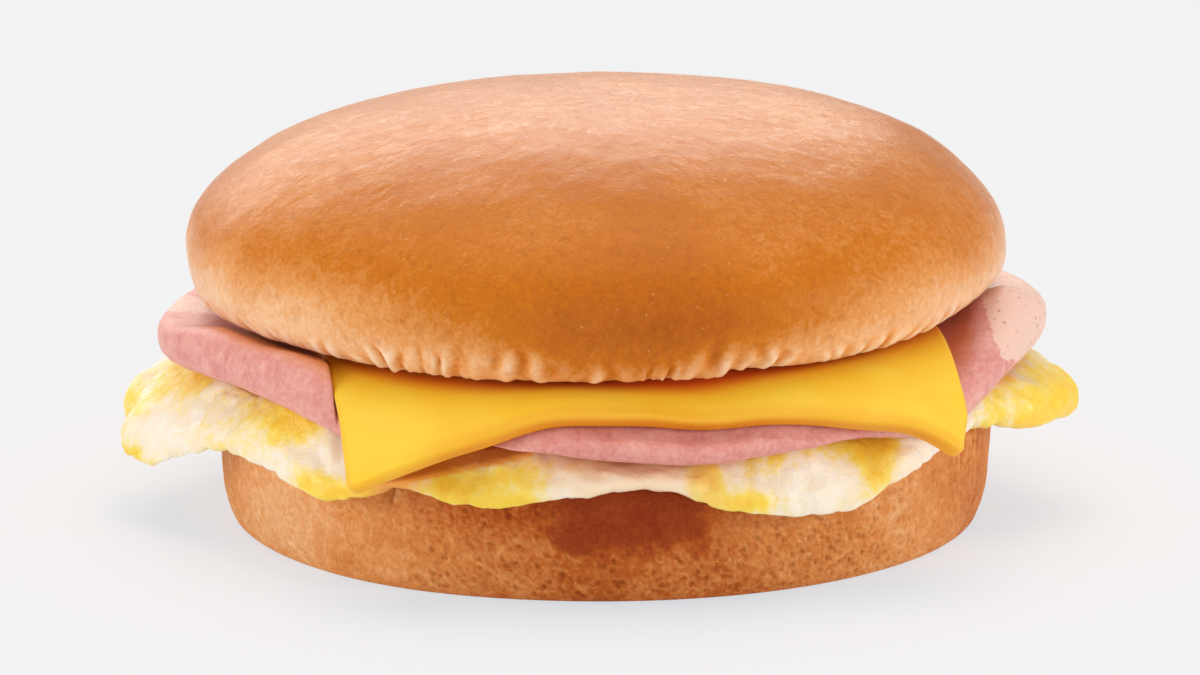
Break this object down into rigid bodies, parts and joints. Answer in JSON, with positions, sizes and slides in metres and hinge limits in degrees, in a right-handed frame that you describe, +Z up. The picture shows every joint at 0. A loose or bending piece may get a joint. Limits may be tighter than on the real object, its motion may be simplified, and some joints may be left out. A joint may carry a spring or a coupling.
{
  "type": "breakfast sandwich",
  "caption": "Breakfast sandwich on a soft round bun: a folded cooked egg, a round slice of ham and a square slice of cheese whose front corners hang down.",
  "frame": {"origin": "middle of the footprint, on the surface that the heel rests on", "axes": "+Z up from the heel to the crown, -Y towards the side with the hanging cheese corners, +X to the right seen from that side"},
  "size_m": [0.1213, 0.1099, 0.0528],
  "materials": {
    "bun_bottom": null,
    "cooked_egg": null,
    "ham_slice": null,
    "cheese_slice": null,
    "bun_top": null
  },
  "bodies": {
    "root": {"heel": "bun_bottom", "egg": "cooked_egg", "ham": "ham_slice", "cheese": "cheese_slice", "crown": "bun_top"}
  },
  "joints": []
}
